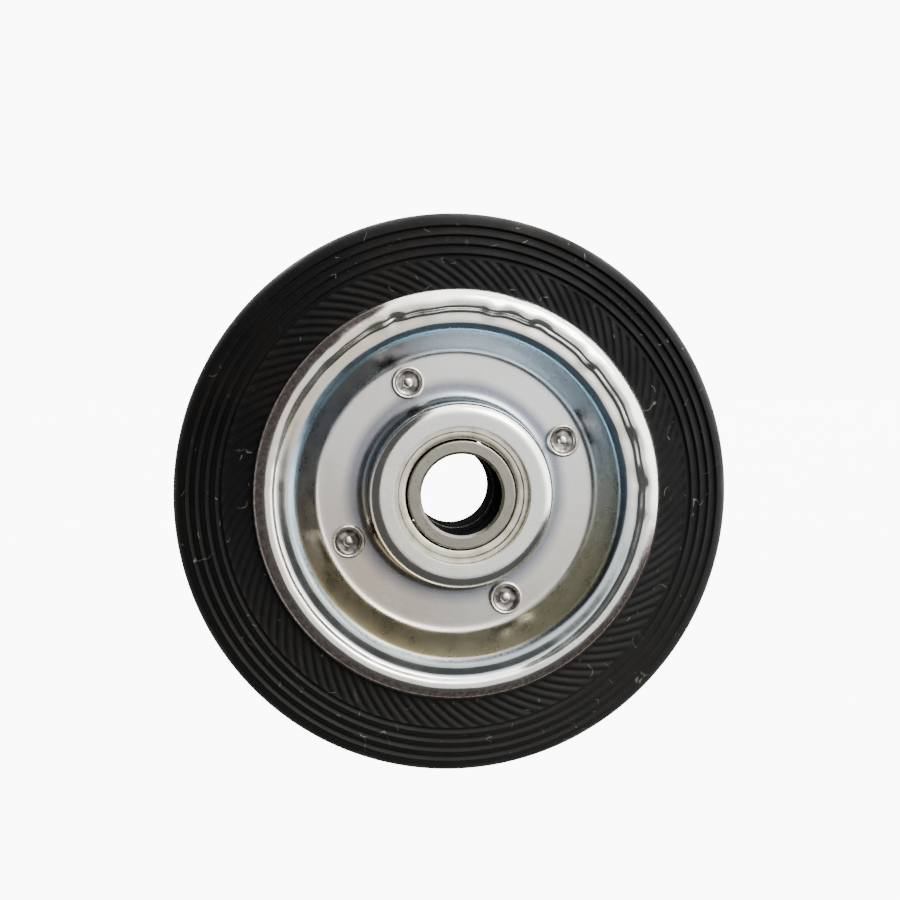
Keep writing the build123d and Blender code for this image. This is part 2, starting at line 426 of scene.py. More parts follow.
@dataclass(frozen=True)
class RubberFinish:
    """Matte black moulded rubber, with lint, chalky scuffs and a dull bloom."""

    black: Colour = (0.0022, 0.0022, 0.0028)
    brown: Colour = (0.0048, 0.0040, 0.0032)
    dusty: Colour = (0.0125, 0.0122, 0.0112)
    lint: Colour = (0.085, 0.085, 0.07)
    scuff: Colour = (0.03, 0.029, 0.026)
    bottom_tone_from: float = 20 * MM
    bottom_tone_to: float = -70 * MM
    roughness: float = 0.62

    def make(self) -> bpy.types.Material:
        """Build the material."""
        shader = Shader("moulded_rubber")
        bloom = shader.span(shader.noise(28, 3), 0.4, 0.68)
        colour = shader.mix(bloom, self.black, self.brown)
        height = shader.add("ShaderNodeSeparateXYZ")
        shader.join(shader.place, height.inputs["Vector"])
        # The rubber is made lighter towards the bottom, from 20 mm above the axle to 70 mm below it.
        bottom_share = shader.span(height.outputs["Z"], self.bottom_tone_from, self.bottom_tone_to)
        colour = shader.mix(bottom_share, colour, self.dusty)
        streaks = shader.noise(420, 2, place=shader.stretched(1, 0.4, 0.35))
        scuffs = shader.sum(
            "MULTIPLY",
            shader.span(streaks, 0.68, 0.78),
            shader.span(shader.noise(60, 2), 0.52, 0.66),
        )
        colour = shader.mix(scuffs, colour, self.scuff)
        wisp = shader.sum("ABSOLUTE", shader.sum("SUBTRACT", shader.noise(120, 1, 0.4), 0.5))
        lint = shader.sum(
            "MULTIPLY",
            shader.span(wisp, 0.008, 0.002),
            shader.span(shader.noise(240, 1), 0.60, 0.66),
        )
        flecks = shader.sum(
            "MULTIPLY",
            shader.span(shader.cells(420), 0.09, 0.05),
            shader.span(shader.noise(90, 1), 0.62, 0.66),
        )
        colour = shader.mix(shader.sum("MAXIMUM", lint, flecks), colour, self.lint)
        grain = shader.bump(shader.noise(2600, 3), 0.03 * MM)
        sag = shader.bump(shader.noise(160, 2), 0.25 * MM, below=grain)
        gloss = shader.span(shader.noise(90, 3), 0.3, 0.7, self.roughness - 0.1, self.roughness + 0.12)
        return shader.finish(Base_Color=colour, Roughness=gloss, Normal=sag, Specular_IOR_Level=0.08)


@dataclass(frozen=True)
class ZincFinish:
    """Zinc-plated and blue-passivated pressed sheet, its blue tints laid in bands across the radius together with
    painted reflections and painted shade, one set of bands above and another below, with a painted warm reflection to
    the left and a painted dark reflection on the lip's outer part.
    """

    reach: float = 66 * MM
    white: Colour = (0.90, 0.91, 0.87)
    silver: Colour = (0.74, 0.75, 0.74)
    warm: Colour = (0.72, 0.69, 0.63)
    pale: Colour = (0.60, 0.68, 0.70)
    blue: Colour = (0.20, 0.36, 0.52)
    sky: Colour = (0.42, 0.62, 0.80)
    deep: Colour = (0.035, 0.06, 0.075)
    teal: Colour = (0.34, 0.44, 0.46)
    lip_reflection_mauve: Colour = (0.95, 0.74, 0.72)
    smoke: Colour = (0.50, 0.47, 0.40)
    olive: Colour = (0.33, 0.32, 0.245)
    slate: Colour = (0.235, 0.255, 0.315)
    left_reflection_blush: Colour = (0.96, 0.88, 0.80)
    speck: Colour = (0.03, 0.03, 0.03)
    grain: float = 0.22
    roughness: float = 0.14
    satin: float = 0.14

    def stops(self, *bands: tuple[float, Colour]) -> list[tuple[float, Colour]]:
        """Turn bands of (radius in millimetres, colour) into stops of a ramp."""
        return [(radius * MM / self.reach, colour) for radius, colour in bands]

    def make(self) -> bpy.types.Material:
        """Build the material."""
        shader = Shader("blue_passivated_zinc")
        radius, angle, _ = shader.polar()
        wander = shader.span(shader.noise(45, 2), 0.2, 0.8, -0.35 * MM, 0.35 * MM)
        along = shader.sum("DIVIDE", shader.sum("ADD", radius, wander), self.reach)
        # Upper part of the wheel: blue passivation tints mixed with painted reflections and painted shade, band by
        # band across the radius, such as the white boss and lip crest and the slate band on the sloped wall.
        top_reflection_bands = shader.ramp(
            along,
            *self.stops(
                (20, self.white),
                (27.5, self.white),
                (28.6, self.teal),
                (31.5, self.slate),
                (33.5, self.slate),
                (36.5, self.silver),
                (43.0, self.silver),
                (45, self.slate),
                (50, self.slate),
                (50.8, self.sky),
                (51.4, self.blue),
                (51.9, self.sky),
                (52.7, self.sky),
                (53.6, self.warm),
                (56.5, self.warm),
                (57.5, self.white),
                (65, self.white),
            ),
        )
        # Lower part of the wheel: the same mix of tints, painted reflections and painted shade, with olive on the
        # wall and a near-black line of painted shade in the valley.
        lower = shader.ramp(
            along,
            *self.stops(
                (20, self.white),
                (28, self.white),
                (30, self.olive),
                (33, self.slate),
                (37, self.warm),
                (42.5, self.warm),
                (44, self.warm),
                (45.5, self.olive),
                (50.9, self.olive),
                (51.5, self.deep),
                (52.1, self.deep),
                (53.0, self.pale),
                (56.5, self.pale),
                (57.5, self.white),
                (65, self.white),
            ),
        )
        # The top of the wheel takes the upper bands and the bottom takes the lower ones, so the painted reflections
        # and shade differ between top and bottom.
        share = shader.span(shader.sum("SINE", angle), -0.45, 0.35)
        colour = shader.mix(share, lower, top_reflection_bands)
        # Painted warm reflection: the colour is multiplied by a pale blush that grows towards the wheel's left side,
        # in noisy patches.
        left = shader.span(shader.sum("COSINE", angle), 0.5, -0.6)
        left_painted_warmth = shader.sum("MULTIPLY", left, shader.span(shader.noise(30, 2), 0.3, 0.6))
        colour = shader.mix(left_painted_warmth, colour, shader.mix(1.0, colour, self.left_reflection_blush, "MULTIPLY"))
        # Painted dark reflection on the lip's outer part, beyond 60 to 61 mm: mottled mauve and smoke over the left
        # and the bottom, fading out towards the upper right.
        shade = shader.sum("ADD", shader.sum("MULTIPLY", shader.sum("COSINE", angle), 0.7), shader.sum("SINE", angle))
        lip = shader.sum(
            "MULTIPLY",
            shader.span(radius, 60 * MM, 61 * MM),
            shader.span(shade, 0.9, 0.3),
        )
        mottle = shader.span(shader.noise(650, 3, 0.7), 0.42, 0.58)
        colour = shader.mix(lip, colour, shader.mix(mottle, self.lip_reflection_mauve, self.smoke))
        grain = shader.span(shader.noise(1500, 2, 0.7), 0.35, 0.65)
        colour = shader.mix(shader.sum("MULTIPLY", grain, self.grain), colour, self.smoke)
        specks = shader.sum(
            "MULTIPLY",
            shader.span(shader.cells(260), 0.06, 0.04),
            shader.span(shader.noise(80, 0), 0.66, 0.70),
        )
        colour = shader.mix(specks, colour, self.speck)
        peel = shader.bump(shader.noise(1500, 2), 0.009 * MM)
        waves = shader.bump(shader.noise(150, 2), 0.04 * MM, below=peel)
        satin = shader.sum(
            "MULTIPLY",
            shader.span(radius, 28.5 * MM, 31 * MM),
            shader.span(radius, 53 * MM, 51 * MM),
        )
        streaks = shader.span(shader.noise(120, 3), 0.3, 0.75, self.roughness - 0.04, self.roughness + 0.08)
        gloss = shader.sum("MULTIPLY_ADD", satin, self.satin, streaks)
        return shader.finish(Base_Color=colour, Roughness=gloss, Normal=waves, Metallic=1.0)


@dataclass(frozen=True)
class RivetFinish:
    """Plated rivet, worn bright and dull in patches, with painted shade in its cup."""

    bright: Colour = (0.74, 0.70, 0.64)
    dull: Colour = (0.46, 0.42, 0.38)
    cup_shade: Colour = (0.10, 0.09, 0.085)
    cup_mouth: float = -3.7 * MM
    cup_floor: float = -3.1 * MM
    roughness: float = 0.27

    def make(self) -> bpy.types.Material:
        """Build the material."""
        shader = Shader("plated_rivet")
        wear = shader.span(shader.noise(500, 3), 0.4, 0.66)
        colour = shader.mix(wear, self.bright, self.dull)
        _, _, along = shader.polar()
        # Painted shade in the cup: the metal darkens from the cup's mouth towards its floor and stays dark on the
        # shank and tail behind, in noisy patches.
        cup_shade_share = shader.sum(
            "MULTIPLY",
            shader.span(along, self.cup_mouth, self.cup_floor),
            shader.span(shader.noise(330, 1), 0.25, 0.55),
        )
        colour = shader.mix(cup_shade_share, colour, self.cup_shade)
        dents = shader.bump(shader.noise(900, 2), 0.02 * MM)
        gloss = shader.span(shader.noise(700, 2), 0.3, 0.7, self.roughness - 0.06, self.roughness + 0.12)
        return shader.finish(Base_Color=colour, Roughness=gloss, Normal=dents, Metallic=1.0)


@dataclass(frozen=True)
class GroundSteelFinish:
    """Ground bearing steel, warm grey with small stains; inside the bore the ring takes the near-black bore finish,
    which paints shade there.
    """

    steel: Colour = (0.235, 0.222, 0.185)
    pale: Colour = (0.30, 0.285, 0.24)
    stain: Colour = (0.04, 0.035, 0.03)
    roughness: float = 0.42

    def make(self) -> bpy.types.Material:
        """Build the material."""
        shader = Shader("ground_ring_steel")
        radius, angle, _ = shader.polar()
        lay = shader.add("ShaderNodeCombineXYZ")
        shader.feed(lay.inputs["X"], shader.sum("MULTIPLY", angle, 3.0))
        shader.feed(lay.inputs["Y"], shader.sum("MULTIPLY", radius, 6000.0))
        grinding = shader.noise(1.0, 3, place=lay.outputs["Vector"])
        colour = shader.mix(shader.span(grinding, 0.35, 0.65), self.steel, self.pale)
        dots = shader.sum(
            "MULTIPLY",
            shader.span(shader.cells(800), 0.17, 0.10),
            shader.span(shader.noise(260, 2), 0.50, 0.58),
        )
        colour = shader.mix(dots, colour, self.stain)
        scratches = shader.bump(grinding, 0.004 * MM)
        return shader.finish(
            Base_Color=colour,
            Roughness=shader.span(shader.noise(300, 2), 0.3, 0.7, self.roughness - 0.06, self.roughness + 0.1),
            Normal=scratches,
            Metallic=1.0,
        )


@dataclass(frozen=True)
class BoreShadeFinish:
    """Near-black steel of the bore, nearly without shine: painted shade inside the bore."""

    black: Colour = (0.0045, 0.0048, 0.0055)
    grey: Colour = (0.010, 0.010, 0.010)

    def make(self) -> bpy.types.Material:
        """Build the material."""
        shader = Shader("painted_shade_bore")
        colour = shader.mix(shader.span(shader.noise(200, 2), 0.35, 0.65), self.black, self.grey)
        grain = shader.bump(shader.noise(1500, 2), 0.004 * MM)
        return shader.finish(Base_Color=colour, Roughness=0.8, Normal=grain, Specular_IOR_Level=0.0)


@dataclass(frozen=True)
class PlainSteelFinish:
    """Plain steel inside the hub: one colour and gloss, broken by light oil staining."""

    name: str
    colour: Colour
    stain: Colour
    roughness: float

    def make(self) -> bpy.types.Material:
        """Build the material."""
        shader = Shader(self.name)
        film = shader.span(shader.noise(240, 3), 0.4, 0.7)
        grain = shader.bump(shader.noise(2000, 2), 0.003 * MM)
        gloss = shader.span(shader.noise(400, 2), 0.3, 0.7, self.roughness, self.roughness + 0.1)
        return shader.finish(
            Base_Color=shader.mix(film, self.colour, self.stain), Roughness=gloss, Normal=grain, Metallic=1.0
        )


def dress(piece: bpy.types.Object, material: bpy.types.Material) -> None:
    """Give a piece one material all over."""
    piece.data.materials.clear()
    piece.data.materials.append(material)


# The pressed disc's section, which the tyre's foot follows


@dataclass
class Pressing:
    """Sizes of the pressed disc, along the face that is seen."""

    sheet: float = 2.5 * MM
    hole_radius: float = 21 * MM
    boss_radius: float = 28.52 * MM
    boss_height: float = 19.5 * MM
    rivet_circle: float = 37.77 * MM
    rivet_room: float = 5.55 * MM
    cup_bend: float = 3.5 * MM
    web_bend: float = 3.7 * MM
    foot_bend: float = 3.0 * MM
    corner_bend: float = 3.7 * MM
    valley_bend: float = 1.5 * MM
    shoulder_bend: float = 1.3 * MM
    edge_bend: float = 4.0 * MM
    wall_slope: float = 58
    band_slope: float = -5
    rise_slope: float = 50
    top_slope: float = 9
    edge_slope: float = -50
    wall_run: float = 8.7 * MM
    band_run: float = 1.95 * MM
    rise_run: float = 0.75 * MM
    top_run: float = 0.7 * MM
    edge_run: float = 1.5 * MM

    def reach(self, bend: float, turn: float) -> float:
        """How far along each run a bend of a radius starts, for a turn in degrees."""
        return bend * math.tan(math.radians(abs(turn)) / 2)

    def corners(self) -> list[tuple[Place, float]]:
        """The section's corners from the bearing hole to the lip's edge.

        Returns:
            Each corner's place on the +Y side, with the reach of its bend, 0 at the two ends.
        """
        foot = self.reach(self.foot_bend, self.wall_slope)
        corner = self.reach(self.corner_bend, self.wall_slope - self.band_slope)
        valley = self.reach(self.valley_bend, self.rise_slope - self.band_slope)
        foot_radius = self.rivet_circle + self.rivet_room + foot
        found = [
            ((self.hole_radius, self.boss_height), 0.0),
            ((self.boss_radius, self.boss_height), self.reach(self.cup_bend, 90)),
            ((self.boss_radius, self.sheet), self.reach(self.web_bend, 90)),
            ((foot_radius, self.sheet), foot),
        ]
        shoulder = self.reach(self.shoulder_bend, self.rise_slope - self.top_slope)
        edge = self.reach(self.edge_bend, self.top_slope - self.edge_slope)
        runs = (
            (foot + self.wall_run + corner, self.wall_slope, corner),
            (corner + self.band_run + valley, self.band_slope, valley),
            (valley + self.rise_run + shoulder, self.rise_slope, shoulder),
            (shoulder + self.top_run + edge, self.top_slope, edge),
            (edge + self.edge_run, self.edge_slope, 0.0),
        )
        for length, slope, reach in runs:
            (radius, height), _ = found[-1]
            turn = math.radians(slope)
            found.append(((radius + length * math.cos(turn), height + length * math.sin(turn)), reach))
        return found


# Sub-assemblies


@dataclass
class Tyre:
    """The solid tyre: round crown, ring grooves, and slanted ribs down to the rim."""

    pressing: Pressing
    radius: float = 89 * MM
    crown_radius: float = 6.5 * MM
    crown_half_angle: float = 73
    side_radius: float = 180 * MM
    seat_gap: float = 0.1 * MM
    foot_gap: float = 4.0 * MM
    ring_count: int = 4
    first_ring_depth: float = 5.4 * MM
    ring_pitch: float = 3.1 * MM
    ring_half_width: float = 0.72 * MM
    ring_depth: float = 0.6 * MM
    rib_count: int = 104
    rib_steps: int = 6
    rib_depth: float = 0.5 * MM
    rib_low: float = 63.9 * MM
    rib_high: float = 73.3 * MM
    rib_slant: float = math.radians(8.4) / (8.2 * MM)

    def side(self, radius: float) -> float:
        """Half the tyre's width at a radius on its side, below the crown."""
        centre = self.radius - self.crown_radius
        reach = self.side_radius - self.crown_radius
        turn = math.radians(self.crown_half_angle)
        side_x = centre - reach * math.cos(turn)
        return math.sqrt(self.side_radius**2 - (radius - side_x) ** 2) - reach * math.sin(turn)

    def ring_groove(self, middle: float) -> list[Place]:
        """The section of one ring groove, from its outer edge to its inner edge."""
        shape = ((1.3, 0.0), (1.0, 0.12), (0.6, 0.7), (0.2, 1.0), (-0.2, 1.0), (-0.6, 0.7), (-1.0, 0.12), (-1.3, 0.0))
        return [
            (middle + share * self.ring_half_width, self.side(middle) - depth * self.ring_depth)
            for share, depth in shape
        ]

    def section(self) -> list[Place]:
        """Half the tyre's section, from the crown to the middle of the foot."""
        crown_centre = self.radius - self.crown_radius
        points = arc((crown_centre, 0), self.crown_radius, 0, self.crown_half_angle, 14)
        for index in range(self.ring_count):
            points += self.ring_groove(self.radius - self.first_ring_depth - index * self.ring_pitch)
        rows = 9
        for row in range(rows + 1):
            radius = self.rib_high + (self.rib_low - self.rib_high) * row / rows
            points.append((radius, self.side(radius)))
        seat = [place for place, _ in self.pressing.corners()]
        lip_radius = seat[-1][0] + self.seat_gap
        points.append((lip_radius, self.side(lip_radius)))
        under = self.pressing.sheet + self.seat_gap
        valley, corner, foot = seat[-4], seat[-5], seat[-6]
        points += [
            (lip_radius, seat[-1][1] - under * 0.75),
            (seat[-2][0], seat[-2][1] - under * 1.35),
            (valley[0] + under * 0.45, valley[1] - under),
            (corner[0] + under * 0.55, corner[1] - under * 1.0),
            (self.pressing.rivet_circle + self.pressing.rivet_room + 2 * self.foot_gap, foot[1] + 0.6 * MM),
            (foot[0] + self.foot_gap, 0.0),
        ]
        return points

    def build(self, finish: RubberFinish) -> bpy.types.Object:
        """Model one rib's sector, cut the rib, mirror it and repeat it round the wheel."""
        section = self.section()
        outline = Outline("moulded_tyre", section[0]).to(*section[1:])
        pitch = FULL_TURN / self.rib_count
        sector = outline.spin(self.rib_steps, turn=pitch)
        self.cut_rib(sector, pitch)
        take(sector)
        flip = sector.modifiers.new("other_side", "MIRROR")
        flip.use_axis = (False, True, False)
        flip.use_mirror_merge = True
        flip.merge_threshold = WELD * 10
        deselect_all()
        bpy.ops.object.empty_add()
        step = bpy.context.object
        step.rotation_euler = (0, -pitch, 0)
        bpy.context.view_layer.update()
        repeat = sector.modifiers.new("round_the_wheel", "ARRAY")
        repeat.count = self.rib_count
        repeat.use_relative_offset = False
        repeat.use_object_offset = True
        repeat.offset_object = step
        apply_modifiers(sector)
        bpy.data.objects.remove(step)
        take(sector)
        bpy.ops.object.mode_set(mode="EDIT")
        bpy.ops.mesh.select_all(action="SELECT")
        bpy.ops.mesh.remove_doubles(threshold=WELD * 10)
        bpy.ops.mesh.normals_make_consistent(inside=False)
        bpy.ops.object.mode_set(mode="OBJECT")
        smooth(sector, 50)
        dress(sector, finish.make())
        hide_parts("tyre")
        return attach(sector, Body.WHEEL.value)

    def cut_rib(self, sector: bpy.types.Object, pitch: float) -> None:
        """Press a groove into the band of ribs and slant the band's rows.

        Args:
            sector: The sector of one rib, on the +Y side.
            pitch: The sector's angle, in radians.
        """
        low, high = self.rib_low + 0.3 * MM, self.rib_high - 0.3 * MM

        def in_band(place: Vector) -> bool:
            radius = math.hypot(place.x, place.z)
            return low < radius < high and place.y > self.side(radius) - 0.2 * MM

        first = min(math.atan2(v.co.z, v.co.x) for v in sector.data.vertices if in_band(v.co))
        for column, depth in ((1, 0.6), (2, 1.0), (3, 0.8)):
            middle = first + pitch * column / self.rib_steps
            found = pick(
                sector,
                lambda place: in_band(place) and abs(math.atan2(place.z, place.x) - middle) < pitch * 0.1,
            )
            bpy.ops.transform.translate(value=(0, -depth * self.rib_depth, 0))
            LOG.info("rib column %d has %d points", column, found)
        radii = sorted({round(math.hypot(v.co.x, v.co.z), 6) for v in sector.data.vertices})
        for radius in radii:
            if radius < self.rib_high + self.ring_half_width:
                pick(sector, lambda place: abs(math.hypot(place.x, place.z) - radius) < WELD)
                turn = (radius - self.rib_high) * self.rib_slant
                bpy.ops.transform.rotate(
                    value=turn, orient_axis="Y", orient_type="GLOBAL", center_override=(0, 0, 0)
                )
        bpy.ops.object.mode_set(mode="OBJECT")


@dataclass
class Disc:
    """One pressed disc: bearing cup, flat web, sloped wall and a rolled, dented lip."""

    pressing: Pressing
    side: Side
    steps: int = 360
    rivet_angles: tuple[float, ...] = (24.5, 114.5, 204.5, 294.5)
    shoulder_radius: float = 57.8 * MM
    shoulder_height: float = 14.1 * MM
    crest_radius: float = 60.6 * MM
    crest_height: float = 14.5 * MM
    kink_count: int = 30
    kink_push: float = 0.62 * MM
    kink_floor: float = 0.14
    kink_turn: float = math.radians(25)
    flat_count: int = 24
    flat_push: float = 0.28 * MM
    dent_reach: tuple[float, float] = (3.0 * MM, 6.5 * MM)

    def build(self, material: bpy.types.Material) -> bpy.types.Object:
        """Press the sheet, dent it, and give it its thickness."""
        corners = self.pressing.corners()
        across = self.side.value
        places = [(radius, height * across) for (radius, height), _ in corners]
        outline = Outline(f"{self.side.word}_pressing", places[0]).to(*places[1:])
        for place, (_, reach) in zip(places, corners):
            if reach:
                outline.bend(place, reach, 8)
        outline.divide(1.2 * MM)
        piece = outline.spin(self.steps)
        self.face_outwards(piece)
        self.dent(piece)
        sheet = piece.modifiers.new("sheet", "SOLIDIFY")
        sheet.thickness = self.pressing.sheet
        sheet.offset = -1
        sheet.use_even_offset = True
        edges = piece.modifiers.new("broken_edges", "BEVEL")
        edges.width = 0.45 * MM
        edges.segments = 3
        edges.limit_method = "ANGLE"
        edges.angle_limit = math.radians(60)
        apply_modifiers(piece)
        smooth(piece, 35)
        dress(piece, material)
        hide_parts(f"{self.side.word}_disc")
        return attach(piece, Body.WHEEL.value)

    def face_outwards(self, piece: bpy.types.Object) -> None:
        """Turn the sheet's faces to the side that is seen."""
        web = max(
            (face for face in piece.data.polygons if abs(face.normal.y) > 0.99), key=lambda face: face.area
        )
        if web.normal.y * self.side.value < 0:
            take(piece)
            bpy.ops.object.mode_set(mode="EDIT")
            bpy.ops.mesh.select_all(action="SELECT")
            bpy.ops.mesh.flip_normals()
            bpy.ops.object.mode_set(mode="OBJECT")

    def dent(self, piece: bpy.types.Object) -> None:
        """Kink the lip's inner shoulder and flatten its crest, as the rolling tool left them."""
        draw = random.Random(7 + self.side.value)
        lines = (
            (self.shoulder_radius, self.shoulder_height, self.kink_count, self.kink_push, 1.0),
            (self.crest_radius, self.crest_height, self.flat_count, self.flat_push, 0.0),
        )
        for line_radius, height, count, push, slide in lines:
            for index in range(count):
                angle = FULL_TURN * (index + draw.uniform(-0.35, 0.35)) / count
                worn = self.kink_floor + (1 - self.kink_floor) * max(0.0, math.sin(angle + self.kink_turn))
                depth = draw.uniform(0.3, 1.0) * push * worn * draw.choice((1, 1, -1))
                radius = line_radius + draw.uniform(-0.3, 0.3) * MM
                out = Vector((math.cos(angle), 0, math.sin(angle)))
                inward = Vector((0, -self.side.value, 0))
                spot = out * radius - inward * height
                press(piece, spot, (out * slide + inward) * depth, draw.uniform(*self.dent_reach))


@dataclass
class Rivet:
    """One rivet: a cupped head round a small button, a shank, and a domed tail."""

    pressing: Pressing
    number: int
    angle: float
    head_radius: float = 5.25 * MM
    head_height: float = 2.0 * MM
    rim_width: float = 1.15 * MM
    cup_floor: float = 0.5 * MM
    cup_floor_radius: float = 2.7 * MM
    button_radius: float = 1.85 * MM
    button_height: float = 1.1 * MM
    shank_radius: float = 3.0 * MM
    tail_radius: float = 5.0 * MM
    tail_height: float = 2.1 * MM
    steps: int = 64

    def build(self, material: bpy.types.Material) -> bpy.types.Object:
        """Turn the rivet about its own line and move it to its place on the rivet circle."""
        turn = math.radians(self.angle)
        spot = (self.pressing.rivet_circle * math.cos(turn), self.pressing.rivet_circle * math.sin(turn))
        outline = Outline(f"set_rivet_{self.number}", (0, -self.pressing.sheet - self.cup_floor - self.button_height))
        outline.to(*self.section())
        piece = outline.spin(self.steps)
        take(piece)
        bpy.ops.object.mode_set(mode="EDIT")
        bpy.ops.mesh.select_all(action="SELECT")
        bpy.ops.transform.translate(value=(spot[0], 0, spot[1]))
        bpy.ops.object.mode_set(mode="OBJECT")
        smooth(piece, 40)
        dress(piece, material)
        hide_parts(f"rivet_{self.number}")
        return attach(piece, Body.WHEEL.value)

    def section(self) -> list[Place]:
        """The rivet's section, from its button to the top of its tail."""
        face = -self.pressing.sheet
        button = [
            (self.button_radius * math.sin(t), face - self.cup_floor - self.button_height * math.cos(t))
            for t in (math.radians(step * 15) for step in range(1, 7))
        ]
        rim_half = self.rim_width / 2
        rim_middle = self.head_radius - rim_half
        rim_side = face - self.head_height + rim_half
        cup_reach = self.head_radius - self.rim_width - self.cup_floor_radius
        cup_rise = face - self.cup_floor - rim_side
        cup = [
            (
                self.cup_floor_radius + cup_reach * math.sin(t),
                face - self.cup_floor - cup_rise * (1 - math.cos(t)),
            )
            for t in (math.radians(step * 18) for step in range(6))
        ]
        rim = arc((rim_middle, rim_side), rim_half, 180, 360, 10)
        tail_edge = self.pressing.sheet
        tail = [
            (self.tail_radius * math.cos(t), tail_edge + self.tail_height * math.sin(t))
            for t in (math.radians(step * 10) for step in range(10))
        ]
        shank = [(self.head_radius, face), (self.shank_radius, face), (self.shank_radius, tail_edge)]
        return [*button, *cup, *rim, *shank, *tail]


@dataclass
class BearingFace:
    """What is seen of one bearing: its ground inner ring and its outer shield."""

    side: Side
    bore_radius: float = 12.5 * MM
    land_radius: float = 16.6 * MM
    near: float = 2.0 * MM
    far: float = 17.0 * MM
    bore_chamfer: float = 0.8 * MM
    ring_corner: float = 0.3 * MM
    race_radius: float = 4.109 * MM
    race_centre: float = 19.37 * MM
    shield_outer: float = 22.9 * MM
    shield_inner: float = 17.15 * MM
    shield_step: float = 19.2 * MM
    shield_seat: float = 15.7 * MM
    shield_sheet: float = 0.4 * MM
    shield_joggle: float = 0.5 * MM
    steps: int = 180

    def build(
        self,
        ring_material: bpy.types.Material,
        bore_material: bpy.types.Material,
        shield_material: bpy.types.Material,
    ) -> list[bpy.types.Object]:
        """Turn the ring and press the shield."""
        ring = self.closed_turning(f"{self.side.word}_ground_ring", self.ring_section())
        shields = [
            self.closed_turning(f"{self.side.word}_{name}_pressed_shield", self.shield_section(place))
            for name, place in (("outer", 1), ("inner", -1))
        ]
        dress(ring, ring_material)
        # The bore's faces take the near-black material: painted shade inside the bore.
        ring.data.materials.append(bore_material)
        for face in ring.data.polygons:
            middle = face.center
            if math.hypot(middle.x, middle.z) < self.bore_radius + self.bore_chamfer / 4:
                face.material_index = 1
        for name, shield in zip(("outer", "inner"), shields):
            dress(shield, shield_material)
            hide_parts(f"{self.side.word}_{name}_shield")
            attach(shield, Body.WHEEL.value)
        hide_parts(f"{self.side.word}_inner_ring")
        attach(ring, Body.AXLE_SIDE.value)
        return [ring, *shields]

    def closed_turning(self, name: str, section: list[Place]) -> bpy.types.Object:
        """Spin a closed section into a ring on this side of the wheel."""
        places = [(radius, along * self.side.value) for radius, along in section]
        piece = Outline(name, places[0]).to(*places[1:]).close().spin(self.steps)
        smooth(piece, 35)
        return piece

    def ring_section(self) -> list[Place]:
        """The inner ring's section, with its ball groove."""
        middle = (self.near + self.far) / 2
        half = math.degrees(math.acos((self.race_centre - self.land_radius) / self.race_radius))
        groove = arc((self.race_centre, middle), self.race_radius, 180 + half, 180 - half, 12)
        chamfer, corner = self.bore_chamfer, self.ring_corner
        return [
            (self.bore_radius, self.near + chamfer),
            (self.bore_radius + chamfer, self.near),
            (self.land_radius - corner, self.near),
            (self.land_radius, self.near + corner),
            *groove,
            (self.land_radius, self.far - corner),
            (self.land_radius - corner * 0.3, self.far - corner * 0.3),
            (self.land_radius - corner, self.far),
            (self.land_radius - 2 * corner, self.far),
            (self.bore_radius + chamfer + corner, self.far),
            (self.bore_radius + chamfer, self.far),
            (self.bore_radius, self.far - chamfer),
        ]

    def shield_section(self, place: float = 1) -> list[Place]:
        """A shield's section: flat rim, joggle, flat inner part and curled edge.

        Args:
            place: 1 for the outer shield, or -1 for the one on the bearing's inner side.

        Returns:
            The section's points.
        """
        seat, sheet, joggle = self.shield_seat, self.shield_sheet, self.shield_joggle
        points = [
            (self.shield_outer, seat),
            (self.shield_outer, seat + sheet),
            (self.shield_step + sheet, seat + sheet),
            (self.shield_step, seat + sheet - joggle),
            (self.shield_inner + sheet, seat + sheet - joggle),
            (self.shield_inner + sheet * 0.3, seat + sheet * 0.7 - joggle),
            (self.shield_inner, seat - joggle),
            (self.shield_inner, seat - joggle - sheet * 1.5),
            (self.shield_inner + sheet * 0.6, seat - joggle - sheet * 1.5),
            (self.shield_inner + sheet * 0.8, seat - joggle),
            (self.shield_step + sheet, seat - joggle),
            (self.shield_step + 2 * sheet, seat),
        ]
        middle = (self.near + self.far) / 2
        return [(radius, middle + (along - middle) * place) for radius, along in points]


@dataclass
class HubInside:
    """What is hidden in the hub: outer rings, balls, cages and the sleeve."""

    # These near-black finishes are painted shade, standing in for the dark inside the hub.
    steel: PlainSteelFinish = PlainSteelFinish("painted_shade_ring_steel", (0.05, 0.05, 0.05), (0.03, 0.028, 0.025), 0.45)
    polished: PlainSteelFinish = PlainSteelFinish("painted_shade_ball", (0.03, 0.03, 0.032), (0.02, 0.018, 0.015), 0.5)
    strip: PlainSteelFinish = PlainSteelFinish("painted_shade_cage", (0.035, 0.03, 0.026), (0.02, 0.018, 0.015), 0.5)

    def dress_all(self, bore_material: bpy.types.Material) -> None:
        """Give each node that stays its material."""
        steel, polished, strip = self.steel.make(), self.polished.make(), self.strip.make()
        # The outer rings, balls, cages and spacer sleeve all take near-black finishes: painted shade inside the hub.
        ends = {
            "_outer_ring": steel,
            "_balls": polished,
            "_cage_outer_half": strip,
            "_cage_inner_half": strip,
            "_cage_rivets": strip,
            "spacer_sleeve": bore_material,
        }
        for name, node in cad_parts.items():
            for end, material in ends.items():
                if name.endswith(end):
                    dress(node, material)
                    LOG.info("dressed %s with %s", name, material.name)


# The studio


